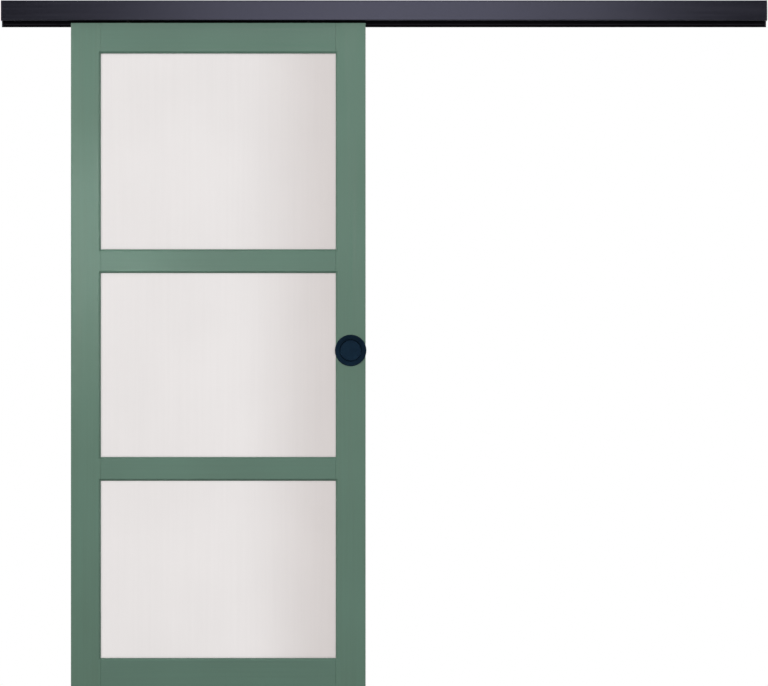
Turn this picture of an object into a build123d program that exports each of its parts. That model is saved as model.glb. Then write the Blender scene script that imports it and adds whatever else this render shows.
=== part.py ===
from build123d import *
import os

# A glazed sliding door that hangs in front of a wall from a rail with a fascia, in millimetres.
# X runs along the rail, Y points into the wall and Z up, so the front faces -Y.
# The origin is on the wall plane, midway along the rail, on its line of fixing holes.

# Leaf: two stiles, four cross rails and three panes, one above the other
PANE_WIDTH = 702.0  # sight width, the same for all three
PANE_UPPER_HEIGHT = 585.0
PANE_MIDDLE_HEIGHT = 549.5
PANE_LOWER_HEIGHT = 529.5
STILE_WIDTH = 89.0
TOP_RAIL_HEIGHT = 91.0
MID_RAIL_HEIGHT = 71.0
BOTTOM_RAIL_HEIGHT = 138.0
LEAF_THICKNESS = 40.0
LEAF_EDGE_RADIUS = 2.0  # rounding of the leaf's two long outer edges
JOINT_CHAMFER = 0.6  # leaves a fine V line where a cross rail meets a stile

# Dowels that join the cross rails to the stiles
DOWEL_RADIUS = 5.0
DOWEL_LENGTH = 60.0
DOWEL_GAP = 0.05  # dowel to its hole, for the glue
DOWEL_END_GAP = 1.0  # glue room past each end
TOP_DOWEL_SHARES = (0.2, 0.5)  # of the rail's height, from its lower edge
MID_DOWEL_SHARES = (0.27, 0.73)
BOTTOM_DOWEL_SHARES = (0.45, 0.8)

# Glazing: a bevelled lip in front, a rebate behind it, glass in a U seal, and mitred beads
BEVEL = 6.0  # both ways, so it stands at 45 degrees
LIP_DEPTH = 11.0
REBATE = 8.0  # how far the rebate reaches behind the sight edge
GLASS_THICKNESS = 5.0
SEAL_WALL = 1.0  # each leg of the U
SEAL_WEB = 1.5  # round the edge of the glass
SEAL_SETBACK = 0.5  # keeps the seal behind the lip's edge
SEAL_GAP = 0.3  # seal to the wall of the rebate
BEAD_GAP = 0.2  # bead to the wall of the rebate
BEAD_INSET = 1.5  # bead behind the leaf's back face
BEAD_CHAMFER = 4.0

# Cup pulls, let into the right stile from both faces
PULL_RISE_ON_LEAF = 1057.0  # centre above the leaf's lower edge
PULL_FLANGE_RADIUS = 47.0
PULL_PROUD = 3.5  # rim above the leaf's face
PULL_RIM_CHAMFER = 1.8
PULL_RIM_WIDTH = 1.6
PULL_MOUTH_RADIUS = 33.0
PULL_RING_DROP = 2.3  # fall of the sloping ring from rim to mouth
PULL_WALL = 1.5
PULL_CUP_DEPTH = 9.5  # floor below the leaf's face
PULL_DRAFT = 1.2  # the floor is this much smaller in radius than the mouth
PULL_FLOOR_FILLET = 2.0
PULL_POCKET_GAP = 0.3

# Rail: an angle on the wall, a track screwed under it, and a fascia gripped on its front edge
RAIL_LENGTH = 2286.0
LEAF_START = 208.0  # rail's left end to the leaf's left edge, at rest
HOLE_RISE = 10.0  # fixing holes above the fascia's lower edge
WALL_GAP = 13.0  # wall to the leaf's back
FASCIA_GAP = 25.0  # leaf's front to the fascia's front
LEAF_DROP = 6.5  # leaf's top below the fascia's lower edge
HANG_GAP = 31.5  # leaf's top to the underside of the track
WALL_FLANGE = 3.0  # the angle's upright flange
ANGLE_DROP = 17.5  # that flange below the fascia's lower edge
FLANGE_WALL = 3.0  # the angle's level flange
ANGLE_ROOT_RADIUS = 4.0
LINE_DEPTH = 1.5  # fine V line along the upright flange
LINE_RISE = 8.0  # that line above the angle's lower edge
HOLE_RADIUS = 3.25
HOLE_INSET = 60.0  # rail's end to the outer fixing hole
HOLE_PAIRS = 3
TRACK_WALL = 2.5
TRACK_CORNER_RADIUS = 1.2
FASCIA_WALL = 2.0
FASCIA_EDGE_RADIUS = 2.4
FASCIA_TOP_LEG = 38.0
FASCIA_RETURN = 22.0  # lower leg, back towards the leaf
FASCIA_LIP = 5.0  # turned up at the end of that leg
GRIP_DEPTH = 12.0  # rib that grips the level flange from below
GRIP_GAP = 0.2
END_CAP_WALL = 4.0
CAP_TAB = 8.0  # depth of the cap's lower part, over the end of the upright flange
PLUG_LENGTH = 16.0
PLUG_WALL = 2.0
PLUG_GAP = 0.3
TRACK_SCREW_INSET = 85.0  # rail's end to the outer screw
TRACK_SCREW_COUNT = 8
TRACK_SCREW_RADIUS = 2.5
TRACK_SCREW_HEAD_RADIUS = 4.6
TRACK_SCREW_HEAD = 2.2  # countersunk into the level flange, from above
THREAD_GAP = 0.05  # screw to its hole, since threads are left plain

# Running gear: two carriages, each with four wheels and a hanger bolt
TRAVEL = 800.0
HANGER_INSET = 170.0  # leaf's edge to the hanger bolt
WHEEL_RADIUS = 10.0
WHEEL_WIDTH = 6.5
WHEEL_EDGE_RADIUS = 0.9
WHEEL_HUB_RADIUS = 4.4
WHEEL_RIM = 1.8  # radial thickness of the tyre outside the dished side
WHEEL_DISH = 1.2
WHEEL_RUN_GAP = 0.25  # wheel above the track's lips
WHEEL_HEADROOM = 4.75  # wheel to the track's roof
WHEEL_SIDE_GAP = 0.3  # wheel to the carriage, and to the axle's head
WHEEL_OUTER_GAP = 1.2  # wheel to the track's side wall
WHEEL_SPREAD = 52.0  # axle to axle on a carriage
AXLE_RADIUS = 2.5
AXLE_FIT = 0.05
AXLE_HEAD_RADIUS = 3.6
AXLE_HEAD = 0.5
CARRIAGE_LENGTH = 84.0
CARRIAGE_WIDTH = 12.0
CARRIAGE_HEIGHT = 16.0
CARRIAGE_LIFT = 2.5  # carriage above the track's lips
CARRIAGE_END_RADIUS = 3.0
BOSS_LENGTH = 26.0
BOSS_WIDTH = 18.0
BOLT_RADIUS = 4.0
BOLT_FLATS = 13.0  # across the hexagon of the bolt's head and of the jam nut
BOLT_HEAD = 5.3
BOLT_TIP_CHAMFER = 0.8
BOLT_DEPTH = 34.0  # how far the bolt reaches into the leaf
BOLT_GAP = 0.3  # bolt and its head to the carriage
SLOT_GAP = 1.5  # bolt to each lip of the track
JAM_NUT = 4.0
NUT_CHAMFER = 0.6
PLATE_LENGTH = 100.0
PLATE_WIDTH = 28.0
PLATE_WALL = 4.0
PLATE_CORNER_RADIUS = 6.0
PLATE_GAP = 0.3
PLATE_BOSS_RADIUS = 8.0
PLATE_BOSS = 9.0  # threaded boss under the plate
BORE_GAP = 1.0  # bolt to its bore in the wood
PLATE_SCREW_SPAN = 74.0
PLATE_SCREW_SPREAD = 14.0
PLATE_SCREW_RADIUS = 2.2
PLATE_SCREW_HEAD_RADIUS = 4.4
PLATE_SCREW_HEAD = 2.4
PLATE_SCREW_LENGTH = 36.0
PLATE_SCREW_TIP = 5.0

# Stops clamped in the track, each with a rubber buffer
STOP_LENGTH = 30.0
STOP_HEIGHT = 20.0
STOP_SIDE_GAP = 0.4
STOP_EDGE = 1.5
STOP_SCREW_RADIUS = 3.0
STOP_SCREW_LENGTH = 18.0
STOP_SOCKET_FLATS = 3.0
STOP_SOCKET_DEPTH = 4.0
BUFFER_RADIUS = 6.5
BUFFER_LENGTH = 10.0
BUFFER_NOSE_RADIUS = 3.0
BUFFER_STEM_RADIUS = 3.0
BUFFER_STEM = 8.0
BUFFER_STEM_GAP = 0.05  # stem to its bore
BUFFER_END_GAP = 1.0  # air behind the stem
STOP_PLAY = 0.4  # carriage to the buffer at each end of the travel

# Floor guide, with a fin in a groove along the leaf's lower edge
FLOOR_GAP = 8.0  # leaf above the floor
GROOVE_WIDTH = 9.0
GROOVE_DEPTH = 22.0
GUIDE_PLAY = 0.3  # fin to each side of the groove
GUIDE_TOP_GAP = 4.0
GUIDE_LENGTH = 50.0
GUIDE_DEPTH = 60.0
GUIDE_BASE = 4.0
GUIDE_CORNER_RADIUS = 5.0
GUIDE_LEAD = 1.2  # chamfer round the top of the fin
GUIDE_HOLE_SPAN = 44.0
GUIDE_HOLE_RADIUS = 2.25
GUIDE_SINK_RADIUS = 4.5
GUIDE_SINK = 2.4

OVERRUN = 1.0  # how far a cut runs past the face it starts from

# Places that follow from those sizes
LEAF_WIDTH = PANE_WIDTH + 2 * STILE_WIDTH
LEAF_HEIGHT = (
    TOP_RAIL_HEIGHT + PANE_UPPER_HEIGHT + MID_RAIL_HEIGHT + PANE_MIDDLE_HEIGHT
    + MID_RAIL_HEIGHT + PANE_LOWER_HEIGHT + BOTTOM_RAIL_HEIGHT
)
LEAF_LEFT = LEAF_START - RAIL_LENGTH / 2
LEAF_RIGHT = LEAF_LEFT + LEAF_WIDTH
PANE_LEFT = LEAF_LEFT + STILE_WIDTH
PANE_RIGHT = LEAF_RIGHT - STILE_WIDTH
LEAF_X = (LEAF_LEFT, LEAF_RIGHT)
PANE_X = (PANE_LEFT, PANE_RIGHT)

LEAF_BACK = -WALL_GAP
LEAF_FRONT = LEAF_BACK - LEAF_THICKNESS
LEAF_MID = (LEAF_BACK + LEAF_FRONT) / 2
LEAF_Y = (LEAF_FRONT, LEAF_BACK)
LIP_BACK = LEAF_FRONT + LIP_DEPTH
GLASS_FRONT = LIP_BACK + SEAL_WALL
GLASS_BACK = GLASS_FRONT + GLASS_THICKNESS
BEAD_FRONT = GLASS_BACK + SEAL_WALL
BEAD_BACK = LEAF_BACK - BEAD_INSET
RAIL_FRONT = LEAF_FRONT - FASCIA_GAP

FASCIA_BOTTOM = -HOLE_RISE
ANGLE_BOTTOM = FASCIA_BOTTOM - ANGLE_DROP
LEAF_TOP = FASCIA_BOTTOM - LEAF_DROP
LEAF_BOTTOM = LEAF_TOP - LEAF_HEIGHT
FLOOR = LEAF_BOTTOM - FLOOR_GAP
TRACK_BOTTOM = LEAF_TOP + HANG_GAP
LIP_TOP = TRACK_BOTTOM + TRACK_WALL
AXLE_HEIGHT = LIP_TOP + WHEEL_RUN_GAP + WHEEL_RADIUS
TRACK_ROOF = AXLE_HEIGHT + WHEEL_RADIUS + WHEEL_HEADROOM
TRACK_TOP = TRACK_ROOF + TRACK_WALL
FLANGE_TOP = TRACK_TOP + FLANGE_WALL
RAIL_TOP = FLANGE_TOP + FASCIA_WALL
PROFILE_END = RAIL_LENGTH / 2 - END_CAP_WALL

WHEEL_INNER = CARRIAGE_WIDTH / 2 + WHEEL_SIDE_GAP  # inner face of a wheel, from the leaf's middle
WHEEL_OUTER = WHEEL_INNER + WHEEL_WIDTH
TRACK_HALF = WHEEL_OUTER + WHEEL_OUTER_GAP  # half of the track's inside width
SLOT_HALF = BOLT_RADIUS + SLOT_GAP
CARRIAGE_BOTTOM = LIP_TOP + CARRIAGE_LIFT
CARRIAGE_TOP = CARRIAGE_BOTTOM + CARRIAGE_HEIGHT
BOLT_SEAT = CARRIAGE_TOP - BOLT_HEAD - BOLT_GAP
BOLT_TIP = LEAF_TOP - BOLT_DEPTH
HANGERS = {"left": LEAF_LEFT + HANGER_INSET, "right": LEAF_RIGHT - HANGER_INSET}
OUTWARD = {"left": -1, "right": 1}
AXLE_PLACES = {
    side: {
        "outer": HANGERS[side] + OUTWARD[side] * WHEEL_SPREAD / 2,
        "inner": HANGERS[side] - OUTWARD[side] * WHEEL_SPREAD / 2,
    }
    for side in HANGERS
}
BUFFER_TIPS = {
    "left": HANGERS["left"] - CARRIAGE_LENGTH / 2 - STOP_PLAY,
    "right": HANGERS["right"] + TRAVEL + CARRIAGE_LENGTH / 2 + STOP_PLAY,
}

PULL_X = LEAF_RIGHT - STILE_WIDTH / 2
PULL_Z = LEAF_BOTTOM + PULL_RISE_ON_LEAF
PULL_CUP_RADIUS = PULL_MOUTH_RADIUS + PULL_WALL
PULL_POCKET_RADIUS = PULL_CUP_RADIUS + PULL_POCKET_GAP
PULL_POCKET_DEPTH = PULL_CUP_DEPTH + PULL_WALL + PULL_POCKET_GAP

GUIDE_X = LEAF_RIGHT - (LEAF_WIDTH - TRAVEL) / 2  # under the leaf at both ends of its travel
HOLE_PITCH = (RAIL_LENGTH - 2 * HOLE_INSET) / (2 * HOLE_PAIRS - 1)
HOLE_PLACES = [
    side * HOLE_PITCH * (pair + 0.5) for pair in range(HOLE_PAIRS) for side in (-1, 1)
]
TRACK_SCREW_PITCH = (RAIL_LENGTH - 2 * TRACK_SCREW_INSET) / (TRACK_SCREW_COUNT - 1)
TRACK_SCREW_PLACES = [
    TRACK_SCREW_INSET - RAIL_LENGTH / 2 + number * TRACK_SCREW_PITCH for number in range(TRACK_SCREW_COUNT)
]

# Lower and upper edge of each cross rail and each pane, from the top down
TOP_RAIL_SPAN = (LEAF_TOP - TOP_RAIL_HEIGHT, LEAF_TOP)
PANE_UPPER_SPAN = (TOP_RAIL_SPAN[0] - PANE_UPPER_HEIGHT, TOP_RAIL_SPAN[0])
MID_UPPER_SPAN = (PANE_UPPER_SPAN[0] - MID_RAIL_HEIGHT, PANE_UPPER_SPAN[0])
PANE_MIDDLE_SPAN = (MID_UPPER_SPAN[0] - PANE_MIDDLE_HEIGHT, MID_UPPER_SPAN[0])
MID_LOWER_SPAN = (PANE_MIDDLE_SPAN[0] - MID_RAIL_HEIGHT, PANE_MIDDLE_SPAN[0])
PANE_LOWER_SPAN = (MID_LOWER_SPAN[0] - PANE_LOWER_HEIGHT, MID_LOWER_SPAN[0])
BOTTOM_RAIL_SPAN = (LEAF_BOTTOM, PANE_LOWER_SPAN[0])
PANE_SPANS = {
    "upper": PANE_UPPER_SPAN,
    "middle": PANE_MIDDLE_SPAN,
    "lower": PANE_LOWER_SPAN,
}
RAIL_SPANS = {
    "top_rail": (TOP_RAIL_SPAN, TOP_DOWEL_SHARES),
    "mid_rail_upper": (MID_UPPER_SPAN, MID_DOWEL_SHARES),
    "mid_rail_lower": (MID_LOWER_SPAN, MID_DOWEL_SHARES),
    "bottom_rail": (BOTTOM_RAIL_SPAN, BOTTOM_DOWEL_SHARES),
}


# Basic forms, each between a low and a high value

def middle(span):
    return sum(span) / 2


def length_of(span):
    return span[1] - span[0]


def grown(span, by):
    return (span[0] - by, span[1] + by)


def about(centre, size):
    return (centre - size / 2, centre + size / 2)


def block(x, y, z):
    return Pos(middle(x), middle(y), middle(z)) * Box(length_of(x), length_of(y), length_of(z))


def rod_x(radius, x, y, z):
    bar = Cylinder(radius, length_of(x), rotation=(0, 90, 0))
    return Pos(middle(x), y, z) * bar


def rod_y(radius, x, y, z):
    bar = Cylinder(radius, length_of(y), rotation=(90, 0, 0))
    return Pos(x, middle(y), z) * bar


def rod_z(radius, x, y, z):
    return Pos(x, y, middle(z)) * Cylinder(radius, length_of(z))


def area(a, b):
    """A flat rectangle over two spans, to be placed on a plane."""
    return Pos(middle(a), middle(b)) * Rectangle(length_of(a), length_of(b))


def along_x(section, x):
    """A section drawn in Y and Z, run along X."""
    return extrude(Plane.YZ.offset(x[0]) * section, amount=length_of(x))


def along_y(outline, y):
    """An outline drawn in X and Z, run along Y."""
    return extrude(Plane.XZ.offset(-y[1]) * outline, amount=length_of(y))


def flared(x, z, y_small, y_large):
    """A rectangular funnel that widens at 45 degrees from one Y to another."""
    reach = abs(y_large - y_small)
    small = Plane.XZ.offset(-y_small) * area(x, z)
    large = Plane.XZ.offset(-y_large) * area(grown(x, reach), grown(z, reach))
    return loft([small, large], ruled=True)


def hexagon(flats):
    return RegularPolygon(flats / 2, 6, major_radius=False)


def group(solids):
    return Compound(children=list(solids))


def countersunk(radius, head_radius, head, z):
    """A flat-headed screw along Z, with its head flush with the upper end of a span."""
    shank = rod_z(radius, 0, 0, (z[0], z[1] - head))
    return shank + Pos(0, 0, z[1] - head / 2) * Cone(radius, head_radius, head)


# Leaf frame

def pane_cut(span):
    """What the router takes out round one pane: the bevel in front and the rebate behind."""
    bevel = flared(PANE_X, span, LEAF_FRONT + BEVEL, LEAF_FRONT - OVERRUN)
    rebate_y = (LIP_BACK, LEAF_BACK + OVERRUN)
    return bevel + block(grown(PANE_X, REBATE), rebate_y, grown(span, REBATE))


def dowel_rods(radius, length):
    """A rod at every place where a dowel joins a cross rail to a stile."""
    return [
        rod_x(radius, about(joint, length), LEAF_MID, span[0] + share * length_of(span))
        for span, shares in RAIL_SPANS.values()
        for share in shares
        for joint in PANE_X
    ]


def plate_screw_places():
    return [
        (hanger + x, LEAF_MID + y)
        for hanger in HANGERS.values()
        for x in about(0, PLATE_SCREW_SPAN)
        for y in about(0, PLATE_SCREW_SPREAD)
    ]


def hanger_cut():
    """Pocket, bores and screw holes for both hanger plates, in the leaf's top edge."""
    pocket_z = (LEAF_TOP - PLATE_WALL, LEAF_TOP + OVERRUN)
    boss_z = (LEAF_TOP - PLATE_WALL - PLATE_BOSS - PLATE_GAP, LEAF_TOP)
    bore_z = (BOLT_TIP - BORE_GAP, LEAF_TOP)
    screw_z = (LEAF_TOP - PLATE_SCREW_LENGTH - THREAD_GAP, LEAF_TOP)
    size = (PLATE_LENGTH + 2 * PLATE_GAP, PLATE_WIDTH + 2 * PLATE_GAP)
    corner = PLATE_CORNER_RADIUS + PLATE_GAP
    cuts = []
    for hanger in HANGERS.values():
        pocket = extrude(RectangleRounded(*size, corner), amount=length_of(pocket_z))
        cuts.append(Pos(hanger, LEAF_MID, pocket_z[0]) * pocket)
        cuts.append(rod_z(PLATE_BOSS_RADIUS + PLATE_GAP, hanger, LEAF_MID, boss_z))
        cuts.append(rod_z(BOLT_RADIUS + BORE_GAP, hanger, LEAF_MID, bore_z))
    radius = PLATE_SCREW_RADIUS + THREAD_GAP
    cuts += [rod_z(radius, x, y, screw_z) for x, y in plate_screw_places()]
    return cuts


def pull_pockets():
    front_y = (LEAF_FRONT - OVERRUN, LEAF_FRONT + PULL_POCKET_DEPTH)
    back_y = (LEAF_BACK - PULL_POCKET_DEPTH, LEAF_BACK + OVERRUN)
    return [rod_y(PULL_POCKET_RADIUS, PULL_X, y, PULL_Z) for y in (front_y, back_y)]


def leaf_frame():
    panes = [pane_cut(span) for span in PANE_SPANS.values()]
    groove_z = (LEAF_BOTTOM - OVERRUN, LEAF_BOTTOM + GROOVE_DEPTH)
    groove = block(grown(LEAF_X, OVERRUN), about(LEAF_MID, GROOVE_WIDTH), groove_z)
    holes = dowel_rods(DOWEL_RADIUS + DOWEL_GAP, DOWEL_LENGTH + 2 * DOWEL_END_GAP)
    shared = panes + [groove] + holes

    stile_z = (LEAF_BOTTOM, LEAF_TOP)
    left = block((LEAF_LEFT, PANE_LEFT), LEAF_Y, stile_z)
    left = fillet(left.edges().filter_by(Axis.Z).sort_by(Axis.X)[:2], LEAF_EDGE_RADIUS)
    right = block((PANE_RIGHT, LEAF_RIGHT), LEAF_Y, stile_z)
    right = fillet(right.edges().filter_by(Axis.Z).sort_by(Axis.X)[-2:], LEAF_EDGE_RADIUS)
    pieces = {"stile_left": left - shared, "stile_right": right - shared - pull_pockets()}

    for name, (span, _) in RAIL_SPANS.items():
        rail = block(PANE_X, LEAF_Y, span)
        rail = chamfer(rail.edges().filter_by(Axis.Z), JOINT_CHAMFER)
        pieces[name] = rail - shared
    pieces["top_rail"] = pieces["top_rail"] - hanger_cut()
    pieces["dowels"] = group(dowel_rods(DOWEL_RADIUS, DOWEL_LENGTH))
    return pieces


# Glazing

def glass_block(span):
    cover = REBATE - SEAL_GAP - SEAL_WEB
    return block(grown(PANE_X, cover), (GLASS_FRONT, GLASS_BACK), grown(span, cover))


def seal_ring(span):
    """A U section that wraps the edge of the glass all round."""
    reach = REBATE - SEAL_GAP
    seal_y = (LIP_BACK, BEAD_FRONT)
    ring = block(grown(PANE_X, reach), seal_y, grown(span, reach))
    opening = block(grown(PANE_X, SEAL_SETBACK), seal_y, grown(span, SEAL_SETBACK))
    return ring - glass_block(span) - opening


def corners(x, z):
    return [(x[0], z[0]), (x[1], z[0]), (x[1], z[1]), (x[0], z[1])]


def beads(span):
    """The four mitred beads that hold one pane from behind, by the side that they lie on."""
    reach = REBATE - BEAD_GAP
    bead_y = (BEAD_FRONT, BEAD_BACK)
    ring = block(grown(PANE_X, reach), bead_y, grown(span, reach))
    ring -= block(PANE_X, bead_y, span)
    ring -= flared(PANE_X, span, BEAD_BACK - BEAD_CHAMFER, BEAD_BACK)
    outer = corners(grown(PANE_X, reach), grown(span, reach))
    inner = corners(PANE_X, span)
    sides = {}
    for number, side in enumerate(("bottom", "right", "top", "left")):
        after = (number + 1) % 4
        outline = Polygon(outer[number], outer[after], inner[after], inner[number], align=None)
        sides[side] = ring & along_y(outline, bead_y)
    return sides


def glazing():
    pieces = {}
    for place, span in PANE_SPANS.items():
        pieces[f"pane_{place}"] = glass_block(span)
        pieces[f"seal_{place}"] = seal_ring(span)
        for side, bead in beads(span).items():
            pieces[f"bead_{place}_{side}"] = bead
    return pieces


# Cup pulls

def pull():
    """One turned cup pull, with its axis on Z and the leaf's face at height 0."""
    rim = PULL_FLANGE_RADIUS - PULL_RIM_CHAMFER
    ring = rim - PULL_RIM_WIDTH
    mouth_height = PULL_PROUD - PULL_RING_DROP
    floor_radius = PULL_MOUTH_RADIUS - PULL_DRAFT
    outline = Polyline(
        (0, -PULL_CUP_DEPTH),
        (floor_radius, -PULL_CUP_DEPTH),
        (PULL_MOUTH_RADIUS, mouth_height),
        (ring, PULL_PROUD),
        (rim, PULL_PROUD),
        (PULL_FLANGE_RADIUS, PULL_PROUD - PULL_RIM_CHAMFER),
        (PULL_FLANGE_RADIUS, 0),
        (PULL_CUP_RADIUS, 0),
        (floor_radius + PULL_WALL, -PULL_CUP_DEPTH - PULL_WALL),
        (0, -PULL_CUP_DEPTH - PULL_WALL),
        close=True,
    )
    section = make_face(outline)
    floor_corner = section.vertices().sort_by_distance((floor_radius, -PULL_CUP_DEPTH))[0]
    section = fillet(floor_corner, PULL_FLOOR_FILLET)
    return revolve(Plane.XZ * section, Axis.Z)


def pulls():
    cup = pull()
    return {
        "pull_front": Pos(PULL_X, LEAF_FRONT, PULL_Z) * Rot(90, 0, 0) * cup,
        "pull_back": Pos(PULL_X, LEAF_BACK, PULL_Z) * Rot(-90, 0, 0) * cup,
    }


# Rail

def wall_angle():
    upright = area((-WALL_FLANGE, 0), (ANGLE_BOTTOM, FLANGE_TOP))
    level = area((RAIL_FRONT + FASCIA_WALL + GRIP_GAP, 0), (TRACK_TOP, FLANGE_TOP))
    section = upright + level
    root = section.vertices().sort_by_distance((-WALL_FLANGE, TRACK_TOP))[0]
    section = fillet(root, ANGLE_ROOT_RADIUS)
    line_z = ANGLE_BOTTOM + LINE_RISE
    line = Polygon(
        (-WALL_FLANGE, line_z + LINE_DEPTH),
        (-WALL_FLANGE + LINE_DEPTH, line_z),
        (-WALL_FLANGE, line_z - LINE_DEPTH),
        align=None,
    )
    angle = along_x(section - line, (-PROFILE_END, PROFILE_END))
    hole_y = (-WALL_FLANGE - OVERRUN, OVERRUN)
    angle -= [rod_y(HOLE_RADIUS, x, hole_y, 0) for x in HOLE_PLACES]
    return angle - track_screw_solids(THREAD_GAP)


def track_screw_solids(gap):
    """The screws that hold the track under the angle, or the holes for them when given a gap."""
    head_radius = TRACK_SCREW_HEAD_RADIUS + gap
    screw = countersunk(TRACK_SCREW_RADIUS + gap, head_radius, TRACK_SCREW_HEAD, (TRACK_ROOF, FLANGE_TOP))
    return [Pos(x, LEAF_MID, 0) * screw for x in TRACK_SCREW_PLACES]


def track_channel():
    outside = area(about(LEAF_MID, 2 * (TRACK_HALF + TRACK_WALL)), (TRACK_BOTTOM, TRACK_TOP))
    outside = fillet(outside.vertices().group_by(Axis.Y)[0], TRACK_CORNER_RADIUS)
    inside = area(about(LEAF_MID, 2 * TRACK_HALF), (LIP_TOP, TRACK_ROOF))
    slot = area(about(LEAF_MID, 2 * SLOT_HALF), (TRACK_BOTTOM - OVERRUN, LIP_TOP + OVERRUN))
    track = along_x(outside - inside - slot, (-PROFILE_END, PROFILE_END))
    return track - track_screw_solids(THREAD_GAP)


def front_rounded(section):
    """Rounds the two front corners of a section of the rail."""
    return fillet(section.vertices().group_by(Axis.X)[0], FASCIA_EDGE_RADIUS)


def fascia():
    face = (RAIL_FRONT, RAIL_FRONT + FASCIA_WALL)
    return_end = RAIL_FRONT + FASCIA_RETURN
    grip_top = TRACK_TOP - GRIP_GAP
    section = area(face, (FASCIA_BOTTOM, RAIL_TOP))
    section += area((RAIL_FRONT, RAIL_FRONT + FASCIA_TOP_LEG), (FLANGE_TOP, RAIL_TOP))
    section += area((RAIL_FRONT, return_end), (FASCIA_BOTTOM, FASCIA_BOTTOM + FASCIA_WALL))
    section += area((return_end - FASCIA_WALL, return_end), (FASCIA_BOTTOM, FASCIA_BOTTOM + FASCIA_LIP))
    section += area((RAIL_FRONT, RAIL_FRONT + GRIP_DEPTH), (grip_top - FASCIA_WALL, grip_top))
    return along_x(front_rounded(section), (-PROFILE_END, PROFILE_END))


def end_cap(side):
    """A moulded cap over the whole section, with a hollow plug that sits in the track."""
    outline = front_rounded(area((RAIL_FRONT, 0), (FASCIA_BOTTOM, RAIL_TOP)))
    outline += area((-CAP_TAB, 0), (ANGLE_BOTTOM, FASCIA_BOTTOM))
    plug_y = about(LEAF_MID, 2 * (TRACK_HALF - PLUG_GAP))
    plug_z = (LIP_TOP + PLUG_GAP, TRACK_ROOF - PLUG_GAP)
    plug = area(plug_y, plug_z) - area(grown(plug_y, -PLUG_WALL), grown(plug_z, -PLUG_WALL))
    cap = along_x(outline, (0, END_CAP_WALL)) + along_x(plug, (-PLUG_LENGTH, 0))
    if side == "left":
        cap = mirror(cap, about=Plane.YZ)
        return Pos(-PROFILE_END, 0, 0) * cap
    return Pos(PROFILE_END, 0, 0) * cap


def rail():
    return {
        "wall_angle": wall_angle(),
        "track_channel": track_channel(),
        "track_screws": group(track_screw_solids(0)),
        "fascia": fascia(),
        "end_cap_left": end_cap("left"),
        "end_cap_right": end_cap("right"),
    }


# Stops and buffers

def buffer():
    """A rubber buffer that points along -X from 0, with its stem behind it."""
    head = rod_x(BUFFER_RADIUS, (0, BUFFER_LENGTH), 0, 0)
    nose = head.edges().sort_by(Axis.X)[0]
    head = fillet(nose, BUFFER_NOSE_RADIUS)
    return head + rod_x(BUFFER_STEM_RADIUS, (BUFFER_LENGTH, BUFFER_LENGTH + BUFFER_STEM), 0, 0)


def stop_block():
    """A stop with its front face at X 0, its foot on the lips and a bore for its clamping screw."""
    stop_y = about(0, 2 * (TRACK_HALF - STOP_SIDE_GAP))
    stop = block((0, STOP_LENGTH), stop_y, (LIP_TOP, LIP_TOP + STOP_HEIGHT))
    stop = chamfer(stop.edges().filter_by(Axis.Z), STOP_EDGE)
    stem_x = (-OVERRUN, BUFFER_STEM + BUFFER_END_GAP)
    stop -= rod_x(BUFFER_STEM_RADIUS + BUFFER_STEM_GAP, stem_x, 0, AXLE_HEIGHT)
    bore_z = (LIP_TOP - OVERRUN, LIP_TOP + STOP_HEIGHT + OVERRUN)
    return stop - rod_z(STOP_SCREW_RADIUS + THREAD_GAP, STOP_LENGTH / 2, 0, bore_z)


def stop_screw():
    """A set screw that presses up against the roof of the track."""
    screw = rod_z(STOP_SCREW_RADIUS, 0, 0, (TRACK_ROOF - STOP_SCREW_LENGTH, TRACK_ROOF))
    socket = extrude(hexagon(STOP_SOCKET_FLATS), amount=STOP_SOCKET_DEPTH)
    return screw - Pos(0, 0, TRACK_ROOF - STOP_SCREW_LENGTH) * socket


def stops():
    pieces = {}
    screws = []
    for side, direction in OUTWARD.items():
        tip = BUFFER_TIPS[side]
        face = tip + direction * BUFFER_LENGTH
        turn = Rot(0, 0, 0) if direction > 0 else Rot(0, 0, 180)
        pieces[f"stop_{side}"] = Pos(face, LEAF_MID, 0) * turn * stop_block()
        pieces[f"buffer_{side}"] = Pos(tip, LEAF_MID, AXLE_HEIGHT) * turn * buffer()
        screws.append(Pos(face + direction * STOP_LENGTH / 2, LEAF_MID, 0) * stop_screw())
    pieces["stop_screws"] = group(screws)
    return pieces


# Running gear

def wheel():
    """One wheel with its axle along Z, dished on its upper side."""
    body = Cylinder(WHEEL_RADIUS, WHEEL_WIDTH)
    body = fillet(body.edges().filter_by(GeomType.CIRCLE), WHEEL_EDGE_RADIUS)
    dish_z = (WHEEL_WIDTH / 2 - WHEEL_DISH, WHEEL_WIDTH / 2)
    dish = rod_z(WHEEL_RADIUS - WHEEL_RIM, 0, 0, dish_z) - rod_z(WHEEL_HUB_RADIUS, 0, 0, dish_z)
    return body - dish - Cylinder(AXLE_RADIUS + AXLE_FIT, WHEEL_WIDTH)


def axle(x):
    """A fixed axle through the carriage, with a formed head at each end."""
    head_start = WHEEL_OUTER + WHEEL_SIDE_GAP
    reach = head_start + AXLE_HEAD
    pin = rod_y(AXLE_RADIUS, x, about(LEAF_MID, 2 * reach), AXLE_HEIGHT)
    for side in (-1, 1):
        head_y = sorted((LEAF_MID + side * head_start, LEAF_MID + side * reach))
        pin += rod_y(AXLE_HEAD_RADIUS, x, head_y, AXLE_HEIGHT)
    return pin


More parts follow.
